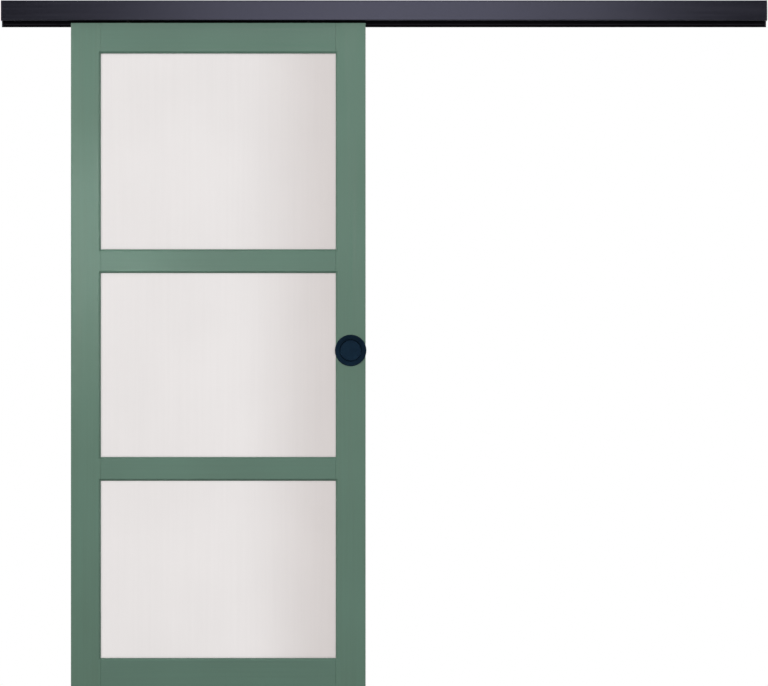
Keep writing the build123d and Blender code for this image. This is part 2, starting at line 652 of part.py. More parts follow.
def carriage(side):
    plan = fillet(Rectangle(CARRIAGE_LENGTH, CARRIAGE_WIDTH).vertices(), CARRIAGE_END_RADIUS)
    plan += Rectangle(BOSS_LENGTH, BOSS_WIDTH)
    body = extrude(plan, amount=CARRIAGE_HEIGHT)
    body -= rod_z(BOLT_RADIUS + BOLT_GAP, 0, 0, (-OVERRUN, CARRIAGE_HEIGHT))
    pocket = extrude(hexagon(BOLT_FLATS + 2 * BOLT_GAP), amount=BOLT_HEAD + BOLT_GAP + OVERRUN)
    body -= Pos(0, 0, BOLT_SEAT - CARRIAGE_BOTTOM) * pocket
    body = Pos(HANGERS[side], LEAF_MID, CARRIAGE_BOTTOM) * body
    bore_y = about(LEAF_MID, CARRIAGE_WIDTH + 2 * OVERRUN)
    radius = AXLE_RADIUS + AXLE_FIT
    return body - [rod_y(radius, x, bore_y, AXLE_HEIGHT) for x in AXLE_PLACES[side].values()]


def hanger_bolt(side):
    shank = rod_z(BOLT_RADIUS, 0, 0, (BOLT_TIP, BOLT_SEAT))
    shank = chamfer(shank.edges().sort_by(Axis.Z)[0], BOLT_TIP_CHAMFER)
    head = Pos(0, 0, BOLT_SEAT) * extrude(hexagon(BOLT_FLATS), amount=BOLT_HEAD)
    return Pos(HANGERS[side], LEAF_MID, 0) * (shank + head)


def jam_nut(side):
    nut = extrude(hexagon(BOLT_FLATS), amount=JAM_NUT)
    nut = chamfer(nut.edges().group_by(Axis.Z)[-1], NUT_CHAMFER)
    nut -= rod_z(BOLT_RADIUS + THREAD_GAP, 0, 0, (-OVERRUN, JAM_NUT + OVERRUN))
    return Pos(HANGERS[side], LEAF_MID, LEAF_TOP) * nut


def hanger_plate(side):
    """A plate flush with the leaf's top edge, with a threaded boss that goes down into the leaf."""
    outline = RectangleRounded(PLATE_LENGTH, PLATE_WIDTH, PLATE_CORNER_RADIUS)
    plate = extrude(outline, amount=PLATE_WALL)
    plate += rod_z(PLATE_BOSS_RADIUS, 0, 0, (-PLATE_BOSS, PLATE_WALL))
    plate -= rod_z(BOLT_RADIUS + THREAD_GAP, 0, 0, (-PLATE_BOSS - OVERRUN, PLATE_WALL + OVERRUN))
    plate = Pos(HANGERS[side], LEAF_MID, LEAF_TOP - PLATE_WALL) * plate
    return plate - [plate_screw(x, y, THREAD_GAP) for x, y in plate_screw_places()]


def plate_screw(x, y, gap):
    """A countersunk screw that is flush with the plate, or the hole for it when given a gap."""
    radius = PLATE_SCREW_RADIUS + gap
    tip_top = LEAF_TOP - PLATE_SCREW_LENGTH + PLATE_SCREW_TIP
    screw = countersunk(radius, PLATE_SCREW_HEAD_RADIUS + gap, PLATE_SCREW_HEAD, (tip_top, LEAF_TOP))
    screw += Pos(0, 0, tip_top - PLATE_SCREW_TIP / 2) * Cone(0, radius, PLATE_SCREW_TIP)
    return Pos(x, y, 0) * screw


def running_gear():
    pieces = {"plate_screws": group(plate_screw(x, y, 0) for x, y in plate_screw_places())}
    tyre = wheel()
    wheel_offset = (WHEEL_INNER + WHEEL_OUTER) / 2
    for side in HANGERS:
        pieces[f"hanger_plate_{side}"] = hanger_plate(side)
        pieces[f"hanger_bolt_{side}"] = hanger_bolt(side)
        pieces[f"jam_nut_{side}"] = jam_nut(side)
        pieces[f"carriage_{side}"] = carriage(side)
        pieces[f"axles_{side}"] = group(axle(x) for x in AXLE_PLACES[side].values())
        for end, x in AXLE_PLACES[side].items():
            front = Pos(x, LEAF_MID - wheel_offset, AXLE_HEIGHT) * Rot(90, 0, 0)
            back = Pos(x, LEAF_MID + wheel_offset, AXLE_HEIGHT) * Rot(-90, 0, 0)
            pieces[f"wheel_{side}_{end}_front"] = front * tyre
            pieces[f"wheel_{side}_{end}_back"] = back * tyre
    return pieces


# Floor guide

def floor_guide():
    fin_width = GROOVE_WIDTH - 2 * GUIDE_PLAY
    fin_top = FLOOR_GAP + GROOVE_DEPTH - GUIDE_TOP_GAP
    outline = RectangleRounded(GUIDE_LENGTH, GUIDE_DEPTH, GUIDE_CORNER_RADIUS)
    base = extrude(outline, amount=GUIDE_BASE)
    fin = extrude(SlotOverall(GUIDE_LENGTH, fin_width), amount=fin_top)
    fin = chamfer(fin.edges().group_by(Axis.Z)[-1], GUIDE_LEAD)
    guide = base + fin
    for y in about(0, GUIDE_HOLE_SPAN):
        guide -= rod_z(GUIDE_HOLE_RADIUS, 0, y, (-OVERRUN, GUIDE_BASE + OVERRUN))
        sink = Cone(GUIDE_HOLE_RADIUS, GUIDE_SINK_RADIUS, GUIDE_SINK)
        guide -= Pos(0, y, GUIDE_BASE - GUIDE_SINK / 2) * sink
    return Pos(GUIDE_X, LEAF_MID, FLOOR) * guide


def main():
    os.makedirs("parts", exist_ok=True)
    pieces = {**rail(), **stops(), "floor_guide": floor_guide()}
    pieces.update(leaf_frame())
    pieces.update(glazing())
    pieces.update(pulls())
    pieces.update(running_gear())
    for name, shape in pieces.items():
        export_step(shape, f"parts/{name}.step")


if __name__ == "__main__":
    main()
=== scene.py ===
import logging
import math
from collections.abc import Iterable, Sequence
from dataclasses import dataclass
from enum import Enum

import bmesh
import bpy
from bpy.types import Material, Mesh, Node, Object
from bpy.types import NodeSocket as Socket
from bpy.types import NodeTree as Tree
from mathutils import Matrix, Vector


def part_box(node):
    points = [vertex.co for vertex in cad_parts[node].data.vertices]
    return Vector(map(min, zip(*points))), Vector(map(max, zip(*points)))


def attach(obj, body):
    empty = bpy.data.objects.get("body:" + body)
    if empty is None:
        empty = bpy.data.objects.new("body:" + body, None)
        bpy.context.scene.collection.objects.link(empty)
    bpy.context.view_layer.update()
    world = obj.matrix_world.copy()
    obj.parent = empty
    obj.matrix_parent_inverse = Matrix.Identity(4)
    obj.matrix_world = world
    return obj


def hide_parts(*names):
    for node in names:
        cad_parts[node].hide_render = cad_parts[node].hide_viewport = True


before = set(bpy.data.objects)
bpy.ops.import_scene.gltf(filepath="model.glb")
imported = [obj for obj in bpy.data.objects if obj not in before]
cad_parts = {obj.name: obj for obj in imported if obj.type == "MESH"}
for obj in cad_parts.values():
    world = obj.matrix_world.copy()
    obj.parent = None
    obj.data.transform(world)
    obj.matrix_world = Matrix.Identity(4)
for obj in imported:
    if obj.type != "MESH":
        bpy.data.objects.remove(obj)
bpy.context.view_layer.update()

# Dresses a glazed sliding door: a painted leaf with three frosted panes, hung from a dark wall rail.
# Lengths are in metres; sizes of patterns and small parts are written in millimetres and turned by MM.

MM = 0.001
SMOOTH_ANGLE = math.radians(35)
PANES = ("upper", "middle", "lower")
SIDES = ("left", "right")
WHITE = "#FFFFFF"

# Nearly all of the noise lies in this span, which the patterns stretch to the range from 0 to 1.
NOISE_SPAN = (0.3, 0.7)
# Octaves of the noise: fewer for slow drifts and the relief, more for the lines of a grain.
SOFT_OCTAVES = 2.0
FINE_OCTAVES = 3.0

# Sockets of the Mix node, by number because several of them share a name.
MIX_SHARE = 0
MIX_VALUE_A, MIX_VALUE_B, MIX_VALUE_OUT = 2, 3, 0
MIX_COLOUR_A, MIX_COLOUR_B, MIX_COLOUR_OUT = 6, 7, 2

Point2 = tuple[float, float]
Point3 = tuple[float, float, float]

log = logging.getLogger("sliding_door")


class Run(Enum):
    """The way that the grain of a piece runs, as sizes along X, Y and Z for one unit across it."""

    UPRIGHT = (1.0, 1.0, 60.0)
    LEVEL = (60.0, 1.0, 1.0)
    NONE = (1.0, 1.0, 1.0)


class Face(Enum):
    """A face of the leaf, as the way along Y that it looks."""

    FRONT = -1
    BACK = 1


def linear(hex_colour: str) -> tuple[float, float, float, float]:
    """Turns a colour on the screen into the linear light of the shader.

    Args:
        hex_colour: sRGB colour as "#RRGGBB".

    Returns:
        Red, green, blue and an alpha of 1, in linear light.
    """
    shares = [int(hex_colour[start : start + 2], 16) / 255 for start in (1, 3, 5)]
    light = [s / 12.92 if s <= 0.04045 else ((s + 0.055) / 1.055) ** 2.4 for s in shares]
    return (*light, 1.0)


def add(tree: Tree, kind: str, inputs: dict[str | int, object] | None = None, **settings: object) -> Node:
    """Adds one node to a tree, with its settings and its links.

    Args:
        tree: The tree that gets the node.
        kind: Blender's name for the kind of node.
        inputs: Value, or socket to link from, for each input by name or number.
        settings: Properties of the node itself.

    Returns:
        The new node.
    """
    node = tree.nodes.new(kind)
    for name, value in settings.items():
        setattr(node, name, value)
    for key, value in (inputs or {}).items():
        if isinstance(value, Socket):
            tree.links.new(value, node.inputs[key])
        else:
            node.inputs[key].default_value = value
    return node


@dataclass(frozen=True)
class Finish:
    """A surface finish: two tones that drift over the piece, lines along its grain, and a fine relief.

    Attributes:
        title: Name of the material.
        light: Lighter tone, sRGB.
        dark: Darker tone, sRGB.
        cloud_mm: Size of the slow drift between the tones.
        line_mm: Width of one line of the grain.
        relief_mm: Grain size of the relief.
        relief_depth_mm: Height of the relief.
        roughness: Lowest and highest roughness over the piece.
        line_share: How much of the drift comes from the lines.
        run: The way that the lines run.
        metallic: 1 where the surface mirrors like metal, and 0 where it doesn't.
        transmission: Share of the light that passes through.
        specular: Strength of the reflection where it isn't metal, with 0.5 for the plain one.
        edge: Tint of the reflection, which on metal shows near grazing angles, sRGB.
    """

    title: str
    light: str
    dark: str
    cloud_mm: float
    line_mm: float
    relief_mm: float
    relief_depth_mm: float
    roughness: tuple[float, float]
    line_share: float = 0.4
    run: Run = Run.NONE
    metallic: float = 0.0
    transmission: float = 0.0
    specular: float = 0.5
    edge: str = WHITE

    def pattern(self, tree: Tree, size_mm: float, run: Run, octaves: float) -> Socket:
        """Adds a noise on the piece's own coordinates, stretched to fill the range from 0 to 1.

        Args:
            tree: The material's tree.
            size_mm: Size of one spot of the noise, across the grain.
            run: The way that the spots are drawn out.
            octaves: Octaves of the noise.

        Returns:
            The socket that gives the noise.
        """
        place = add(tree, "ShaderNodeTexCoord").outputs["Object"]
        scale = [1 / (size_mm * MM * stretch) for stretch in run.value]
        spot = add(tree, "ShaderNodeMapping", {"Vector": place, "Scale": scale}).outputs[0]
        grain = {"Vector": spot, "Scale": 1.0, "Detail": octaves}
        noise = add(tree, "ShaderNodeTexNoise", grain).outputs[0]
        low, high = NOISE_SPAN
        span = {"Value": noise, "From Min": low, "From Max": high}
        return add(tree, "ShaderNodeMapRange", span).outputs[0]

    def tone(self, tree: Tree, drift: Socket) -> Socket:
        """Mixes the two tones.

        Args:
            tree: The material's tree.
            drift: Share of the lighter tone, from place to place.

        Returns:
            The socket that gives the colour.
        """
        tones = {MIX_SHARE: drift, MIX_COLOUR_A: linear(self.dark), MIX_COLOUR_B: linear(self.light)}
        return add(tree, "ShaderNodeMix", tones, data_type="RGBA").outputs[MIX_COLOUR_OUT]

    def build(self) -> Material:
        """Makes the material.

        Returns:
            The material, with all its nodes.
        """
        material = bpy.data.materials.new(self.title)
        material.use_nodes = True
        tree = material.node_tree
        surface = tree.nodes["Principled BSDF"].inputs
        cloud = self.pattern(tree, self.cloud_mm, Run.NONE, SOFT_OCTAVES)
        lines = self.pattern(tree, self.line_mm, self.run, FINE_OCTAVES)
        relief = self.pattern(tree, self.relief_mm, Run.NONE, SOFT_OCTAVES)
        both = {MIX_SHARE: self.line_share, MIX_VALUE_A: cloud, MIX_VALUE_B: lines}
        drift = add(tree, "ShaderNodeMix", both).outputs[MIX_VALUE_OUT]
        colour = self.tone(tree, drift)
        low, high = self.roughness
        rough = add(tree, "ShaderNodeMapRange", {"Value": lines, "To Min": low, "To Max": high}).outputs[0]
        depth = {"Height": relief, "Distance": self.relief_depth_mm * MM, "Strength": 1.0}
        normal = add(tree, "ShaderNodeBump", depth).outputs[0]
        for name, socket in (("Base Color", colour), ("Roughness", rough), ("Normal", normal)):
            tree.links.new(socket, surface[name])
        surface["Metallic"].default_value = self.metallic
        surface["Transmission Weight"].default_value = self.transmission
        surface["Specular IOR Level"].default_value = self.specular
        surface["Specular Tint"].default_value = linear(self.edge)
        return material


@dataclass(frozen=True)
class PaintedShadeFinish(Finish):
    """A finish with a painted shade: it grows darker towards the right side of its piece.

    Attributes:
        shade: Tone of the painted shade at the right side, as a tint on the other tones, sRGB.
        shade_from: Where the shade starts, along X.
        shade_to: Where it is full.
    """

    shade: str = WHITE
    shade_from: float = 0.0
    shade_to: float = 1.0

    def tone(self, tree: Tree, drift: Socket) -> Socket:
        """Mixes the two tones and darkens them along X with the painted shade.

        Args:
            tree: The material's tree.
            drift: Share of the lighter tone, from place to place.

        Returns:
            The socket that gives the colour.
        """
        plain = super().tone(tree, drift)
        # The shade is painted: the tones grow darker towards the right side of the piece.
        place = add(tree, "ShaderNodeTexCoord").outputs["Object"]
        along = add(tree, "ShaderNodeSeparateXYZ", {"Vector": place}).outputs["X"]
        span = {"Value": along, "From Min": self.shade_from, "From Max": self.shade_to}
        share = add(tree, "ShaderNodeMapRange", span, interpolation_type="SMOOTHSTEP").outputs[0]
        tint = {MIX_SHARE: share, MIX_COLOUR_A: plain, MIX_COLOUR_B: linear(self.shade)}
        shaded = add(tree, "ShaderNodeMix", tint, data_type="RGBA", blend_type="MULTIPLY")
        return shaded.outputs[MIX_COLOUR_OUT]


@dataclass(frozen=True)
class GrooveHighlightFinish(Finish):
    """A finish with a painted highlight: a lighter tone on the slanting sides of a line scored along it.

    Attributes:
        groove_highlight: Tone of the painted highlight on the scored sides, sRGB.
        slant: Lowest and highest product of the normal's Y and Z between which the tone sets in.
    """

    groove_highlight: str = WHITE
    slant: tuple[float, float] = (0.35, 0.45)

    def tone(self, tree: Tree, drift: Socket) -> Socket:
        """Mixes the two tones and lays the third on the slanting sides.

        Args:
            tree: The material's tree.
            drift: Share of the lighter tone, from place to place.

        Returns:
            The socket that gives the colour.
        """
        plain = super().tone(tree, drift)
        # The third tone is a painted highlight. It is laid on faces that slant like the sides of the groove.
        normal = add(tree, "ShaderNodeNewGeometry").outputs["Normal"]
        parts = add(tree, "ShaderNodeSeparateXYZ", {"Vector": normal}).outputs
        pair = {0: parts["Y"], 1: parts["Z"]}
        product = add(tree, "ShaderNodeMath", pair, operation="MULTIPLY").outputs[0]
        slope = add(tree, "ShaderNodeMath", {0: product}, operation="ABSOLUTE").outputs[0]
        low, high = self.slant
        span = {"Value": slope, "From Min": low, "From Max": high}
        share = add(tree, "ShaderNodeMapRange", span).outputs[0]
        scored = {MIX_SHARE: share, MIX_COLOUR_A: plain, MIX_COLOUR_B: linear(self.groove_highlight)}
        return add(tree, "ShaderNodeMix", scored, data_type="RGBA").outputs[MIX_COLOUR_OUT]


@dataclass(frozen=True)
class Palette:
    """The finishes of the door, one for each material that it is made of."""

    # The fine grain of metals, plastics and rubber is drawn a few times coarser than it is, at 0.5 mm to
    # 1.2 mm, so that it shows in a close view.

    # Satin paint, rolled and laid off along the grain: a soft sheen, faint drawn-out lines and slow drifts
    # of tone. The lines and the stipple are drawn a few times wider than they are, so that they show.
    stile_paint: Finish = Finish(
        "satin_paint_on_upright_timber", light="#5F8271", dark="#567664", cloud_mm=420, line_mm=7,
        line_share=0.35, relief_mm=3.0, relief_depth_mm=0.02, roughness=(0.36, 0.48), run=Run.UPRIGHT,
    )
    rail_paint: Finish = Finish(
        "satin_paint_on_level_timber", light="#5E8170", dark="#557565", cloud_mm=420, line_mm=7,
        line_share=0.35, relief_mm=3.0, relief_depth_mm=0.02, roughness=(0.36, 0.48), run=Run.LEVEL,
    )
    # Turned hardwood for the dowels: fine brown lines along the rod.
    beech: Finish = Finish(
        "turned_beech", light="#D2B088", dark="#B58F63", cloud_mm=60, line_mm=1.2, line_share=0.7,
        relief_mm=0.8, relief_depth_mm=0.03, roughness=(0.55, 0.7), run=Run.LEVEL,
    )
    # Etched float glass: milky and even, with faint upright bands from the etching bath, and a painted shade
    # that darkens it towards the side of the pull. The etched face mirrors little, so its reflection is
    # dimmed. The grain of the etching is drawn many times coarser than it is.
    glass: Finish = PaintedShadeFinish(
        "etched_float_glass", light="#EDE9E8", dark="#E6E2E1", cloud_mm=300, line_mm=8, line_share=0.5,
        relief_mm=1.5, relief_depth_mm=0.004, roughness=(0.32, 0.38), run=Run.UPRIGHT, transmission=1.0,
        edge="#606060", shade="#EBE8E7", shade_from=-0.45, shade_to=-0.13,
    )
    # Extruded glazing rubber: matt and almost black.
    seal: Finish = Finish(
        "extruded_epdm", light="#26282A", dark="#1B1D1F", cloud_mm=80, line_mm=2,
        relief_mm=0.8, relief_depth_mm=0.02, roughness=(0.7, 0.85),
    )
    # Turned metal, stained blue-black: a silky sheen with a slight bloom.
    pull: Finish = Finish(
        "blue_black_turned_metal", light="#12212E", dark="#0D1925", cloud_mm=30, line_mm=1.5,
        relief_mm=0.6, relief_depth_mm=0.006, roughness=(0.3, 0.4), metallic=1.0, edge="#D8E0E8",
    )
    # Anodised aluminium, brushed along its length: dark, with long fine lines and a broad soft highlight.
    # The brushed lines are drawn ten times wider than they are, so that they show.
    anodised: Finish = Finish(
        "brushed_dark_anodised_aluminium", light="#202026", dark="#17171D", cloud_mm=900, line_mm=5,
        line_share=0.6, relief_mm=1.2, relief_depth_mm=0.003, roughness=(0.16, 0.2), run=Run.LEVEL,
        metallic=1.0, edge="#E6E6EC",
    )
    # Aluminium, anodised black and left matt, so that the strip below the fascia reads as a dark line. The
    # line that is scored along it shows as a thin grey thread, a highlight painted on its slanting sides.
    black: Finish = GrooveHighlightFinish(
        "matt_black_anodised_aluminium", light="#0E0D10", dark="#09080B", cloud_mm=300, line_mm=4,
        line_share=0.5, relief_mm=1.2, relief_depth_mm=0.006, roughness=(0.45, 0.55), run=Run.LEVEL,
        metallic=1.0, edge="#E0E0E4", groove_highlight="#46444A",
    )
    # Steel with a black zinc plate: dark, with a dull gleam on its edges.
    black_steel: Finish = Finish(
        "black_zinc_plated_steel", light="#17171A", dark="#0F0F12", cloud_mm=10, line_mm=1.5,
        relief_mm=0.5, relief_depth_mm=0.01, roughness=(0.4, 0.55), specular=0.15,
    )
    # Moulded ABS: a dull, even grain from the spark-eroded mould.
    cap: Finish = Finish(
        "moulded_abs", light="#26252E", dark="#1D1C24", cloud_mm=40, line_mm=2,
        relief_mm=0.9, relief_depth_mm=0.03, roughness=(0.5, 0.6), specular=0.2,
    )
    # Moulded rubber of the buffers: matt and almost black.
    buffer: Finish = Finish(
        "moulded_rubber", light="#232323", dark="#191919", cloud_mm=25, line_mm=2,
        relief_mm=0.8, relief_depth_mm=0.03, roughness=(0.7, 0.85),
    )
    # Bright zinc plate: pale, with a slight bloom.
    zinc: Finish = Finish(
        "zinc_plated_steel", light="#C9C9C4", dark="#AEB0AE", cloud_mm=12, line_mm=1.5,
        relief_mm=0.5, relief_depth_mm=0.01, roughness=(0.28, 0.42), metallic=1.0,
    )
    # Die-cast zinc, left as cast: grey, dull and a little cloudy.
    cast: Finish = Finish(
        "die_cast_zinc", light="#8E9091", dark="#76797B", cloud_mm=18, line_mm=3,
        relief_mm=0.9, relief_depth_mm=0.04, roughness=(0.45, 0.6), metallic=1.0,
    )
    # Moulded nylon of the wheels: off-white, with a waxy sheen.
    wheel: Finish = Finish(
        "moulded_white_nylon", light="#E6E3DA", dark="#DAD6CB", cloud_mm=14, line_mm=2,
        relief_mm=0.7, relief_depth_mm=0.01, roughness=(0.4, 0.5),
    )
    # Moulded nylon of the floor guide, coloured in the mass: black, with a dull sheen.
    guide: Finish = Finish(
        "moulded_black_nylon", light="#26272A", dark="#1C1D20", cloud_mm=20, line_mm=2,
        relief_mm=0.7, relief_depth_mm=0.02, roughness=(0.45, 0.55),
    )


def put(name: str, mesh: Mesh) -> Object:
    """Puts a mesh into the scene as an object at the origin.

    Args:
        name: Name of the object and of its mesh.
        mesh: The mesh, with its place in its points.

    Returns:
        The new object.
    """
    mesh.name = name
    piece = bpy.data.objects.new(name, mesh)
    bpy.context.scene.collection.objects.link(piece)
    return piece


def plain_mesh(piece: Object) -> Mesh:
    """Turns an object's modifiers into a mesh of its own and takes them off.

    Args:
        piece: The object, with its modifiers set.

    Returns:
        The finished mesh, which the object now holds.
    """
    bpy.context.view_layer.update()
    graph = bpy.context.evaluated_depsgraph_get()
    seen = piece.evaluated_get(graph)
    mesh = bpy.data.meshes.new_from_object(seen, preserve_all_data_layers=True, depsgraph=graph)
    piece.modifiers.clear()
    piece.data = mesh
    mesh.name = piece.name
    return mesh


def even_normals(piece: Object) -> None:
    """Shades the rounded edges of a piece smooth and keeps its flat faces flat.

    Args:
        piece: The piece, whose mesh is replaced.
    """
    piece.data.shade_smooth()
    piece.data.set_sharp_from_angle(angle=SMOOTH_ANGLE)
    piece.modifiers.new("normals", "WEIGHTED_NORMAL").keep_sharp = True
    plain_mesh(piece)


def settle(piece: Object, body: str, nodes: Sequence[str] = ()) -> None:
    """Gives a finished piece to a body of the frame.

    Args:
        piece: The piece.
        body: The body that it moves with.
        nodes: The nodes that it stands for.
    """
    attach(piece, body)
    if nodes:
        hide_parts(*nodes)
    log.info("%s on %s, %d faces", piece.name, body, len(piece.data.polygons))


def dress(nodes: Iterable[str], material: Material) -> None:
    """Puts a material on the frame's own nodes.

    Args:
        nodes: Names of the nodes.
        material: The material that they all get.
    """
    for node in nodes:
        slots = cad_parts[node].data.materials
        slots.clear()
        slots.append(material)
        log.info("%s dressed in %s", node, material.name)


def rounded(points: Sequence[Point2], radii: Sequence[float], steps: int) -> list[Point2]:
    """Rounds the corners of a closed outline with arcs.

    Args:
        points: Corners of the outline, in order.
        radii: Radius at each corner, with 0 for a sharp one.
        steps: Number of straight steps in each arc.

    Returns:
        The points of the rounded outline.
    """
    outline: list[Point2] = []
    for number, (point, radius) in enumerate(zip(points, radii)):
        corner = Vector(point)
        if not radius:
            outline.append(point)
            continue
        before = (Vector(points[number - 1]) - corner).normalized()
        after = (Vector(points[(number + 1) % len(points)]) - corner).normalized()
        half = before.angle(after) / 2
        centre = corner + (before + after).normalized() * radius / math.sin(half)
        start = corner + before * radius / math.tan(half) - centre
        end = corner + after * radius / math.tan(half) - centre
        turn = start.angle_signed(end)
        for step in range(steps + 1):
            angle = -turn * step / steps
            cos, sin = math.cos(angle), math.sin(angle)
            across = centre.x + start.x * cos - start.y * sin
            up = centre.y + start.x * sin + start.y * cos
            outline.append((across, up))
    return outline


def node_group(name: str, sizes: dict[str, str]) -> tuple[Tree, Node]:
    """Starts a Geometry Nodes tree with a geometry input and named inputs.

    Args:
        name: Name of the tree.
        sizes: Kind of socket for each named input.

    Returns:
        The tree and its input node.
    """
    tree = bpy.data.node_groups.new(name, "GeometryNodeTree")
    tree.interface.new_socket("Geometry", in_out="INPUT", socket_type="NodeSocketGeometry")
    for label, kind in sizes.items():
        tree.interface.new_socket(label, in_out="INPUT", socket_type=f"NodeSocket{kind}")
    tree.interface.new_socket("Geometry", in_out="OUTPUT", socket_type="NodeSocketGeometry")
    return tree, tree.nodes.new("NodeGroupInput")


def close_group(tree: Tree, shape: Socket, material: Socket) -> None:
    """Ends a tree with real geometry that carries a material.

    Args:
        tree: The tree.
        shape: The geometry that the tree has made.
        material: The input that names the material.
    """
    real = add(tree, "GeometryNodeRealizeInstances", {"Geometry": shape}).outputs[0]
    worn = add(tree, "GeometryNodeSetMaterial", {"Geometry": real, "Material": material}).outputs[0]
    add(tree, "NodeGroupOutput", {"Geometry": worn})


def grow(name: str, seeds: Mesh, tree: Tree, values: dict[str, object]) -> Object:
    """Runs a Geometry Nodes tree on a few points or lines and keeps the result as a plain mesh.

    Args:
        name: Name of the new piece.
        seeds: The points or lines that the tree starts from.
        tree: The tree.
        values: Value of each of the tree's named inputs.

    Returns:
        The finished piece.
    """
    piece = put(name, seeds)
    modifier = piece.modifiers.new("grow", "NODES")
    modifier.node_group = tree
    for item in tree.interface.items_tree:
        if item.in_out == "INPUT" and item.name in values:
            modifier[item.identifier] = values[item.name]
    plain_mesh(piece)
    return piece


def seeds_at(points: Sequence[Vector], edges: Sequence[tuple[int, int]] = ()) -> Mesh:
    """Makes a mesh of loose points, or of lines between them.

    Args:
        points: The points.
        edges: Pairs of points to join.

    Returns:
        The mesh.
    """
    mesh = bpy.data.meshes.new("seeds")
    mesh.from_pydata(points, edges, [])
    return mesh


def mesh_of(shape: bmesh.types.BMesh, name: str) -> Mesh:
    """Turns a shape that is finished into a mesh and frees it.

    Args:
        shape: The finished shape.
        name: Name of the mesh.

    Returns:
        The mesh.
    """
    mesh = bpy.data.meshes.new(name)
    shape.to_mesh(mesh)
    shape.free()
    return mesh


@dataclass
class Timber:
    """The painted members of the leaf and the beads behind its panes, with their edges sanded soft."""

    paint_upright: Material
    paint_level: Material
    arris: float = 0.7 * MM
    bead_arris: float = 0.4 * MM
    arris_steps: int = 2
    merge_gap: float = 0.001 * MM  # points nearer than this become one
    flat_angle: float = math.radians(1)  # faces that meet at less than this become one
    edge_angle: float = math.radians(40)  # edges sharper than this are rounded

    def soften(self, node: str, arris: float) -> Object:
        """Copies a node and rounds its edges.

        Args:
            node: The node to copy.
            arris: Radius of the rounding.

        Returns:
            The softened piece.
        """
        shape = bmesh.new()
        shape.from_mesh(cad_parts[node].data)
        bmesh.ops.remove_doubles(shape, verts=shape.verts, dist=self.merge_gap)
        bmesh.ops.dissolve_limit(shape, angle_limit=self.flat_angle, verts=shape.verts, edges=shape.edges)
        piece = put(f"{node}_painted", mesh_of(shape, node))
        edge = piece.modifiers.new("arris", "BEVEL")
        edge.width = arris
        edge.segments = self.arris_steps
        edge.limit_method = "ANGLE"
        edge.angle_limit = self.edge_angle
        edge.use_clamp_overlap = False
        plain_mesh(piece)
        even_normals(piece)
        return piece

    def build(self) -> None:
        """Makes the stiles, the cross rails and the beads."""
        rails = ["top_rail", "mid_rail_upper", "mid_rail_lower", "bottom_rail"]
        members = [f"stile_{side}" for side in SIDES] + rails
        beads = [f"bead_{place}_{side}" for place in PANES for side in ("bottom", "right", "top", "left")]
        for node in members + beads:
            piece = self.soften(node, self.bead_arris if node in beads else self.arris)
            upright = node.endswith(SIDES)
            piece.data.materials.append(self.paint_upright if upright else self.paint_level)
            settle(piece, "leaf", [node])


@dataclass
class BeadPins:
    """The small pins that hold the glazing beads, set along the back of each one."""

    paint: Material
    pitch: float = 150 * MM
    end_gap: float = 45 * MM
    edge_gap: float = 1.9 * MM  # from the bead's outer edge
    radius: float = 0.9 * MM
    dome_share: float = 0.3  # height of a head, as a share of its radius
    segments: int = 12
    rings: int = 8

    def tree(self) -> Tree:
        """Builds the tree that sets flat domes along lines.

        Returns:
            The tree, with inputs for the pitch, the radius, the dome and the material.
        """
        sizes = {"Pitch": "Float", "Radius": "Float", "Dome": "Vector", "Material": "Material"}
        tree, given = node_group("bead_pins", sizes)
        size = given.outputs
        lines = add(tree, "GeometryNodeMeshToCurve", {"Mesh": size["Geometry"]}).outputs[0]
        even = {"Curve": lines, "Length": size["Pitch"]}
        spaced = add(tree, "GeometryNodeResampleCurve", even, mode="LENGTH").outputs[0]
        spots = add(tree, "GeometryNodeCurveToPoints", {"Curve": spaced}, mode="EVALUATED").outputs[0]
        ball = {"Segments": self.segments, "Rings": self.rings, "Radius": size["Radius"]}
        head = add(tree, "GeometryNodeMeshUVSphere", ball).outputs[0]
        dome = add(tree, "GeometryNodeTransform", {"Geometry": head, "Scale": size["Dome"]}).outputs[0]
        pins = add(tree, "GeometryNodeInstanceOnPoints", {"Points": spots, "Instance": dome}).outputs[0]
        close_group(tree, pins, size["Material"])
        return tree

    def line(self, node: str) -> tuple[Vector, Vector]:
        """Finds the line of pins on one bead.

        Args:
            node: The bead.

        Returns:
            The line's two ends, on the bead's back face.
        """
        low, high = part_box(node)
        side = node.rsplit("_", 1)[1]
        along = 0 if side in ("top", "bottom") else 2
        across = 2 - along
        start = Vector((low.x, high.y, low.z))
        end = start.copy()
        start[along] = low[along] + self.end_gap
        end[along] = high[along] - self.end_gap
        outer = high[across] - self.edge_gap if side in ("top", "right") else low[across] + self.edge_gap
        start[across] = end[across] = outer
        return start, end

    def build(self) -> None:
        """Makes the pins of all the beads as one piece."""
        beads = sorted(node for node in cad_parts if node.startswith("bead_"))
        ends = [end for node in beads for end in self.line(node)]
        edges = [(number, number + 1) for number in range(0, len(ends), 2)]
        values = {
            "Pitch": self.pitch,
            "Radius": self.radius,
            "Dome": (1.0, self.dome_share, 1.0),
            "Material": self.paint,
        }
        pins = grow("bead_pins", seeds_at(ends, edges), self.tree(), values)
        even_normals(pins)
        settle(pins, "leaf")


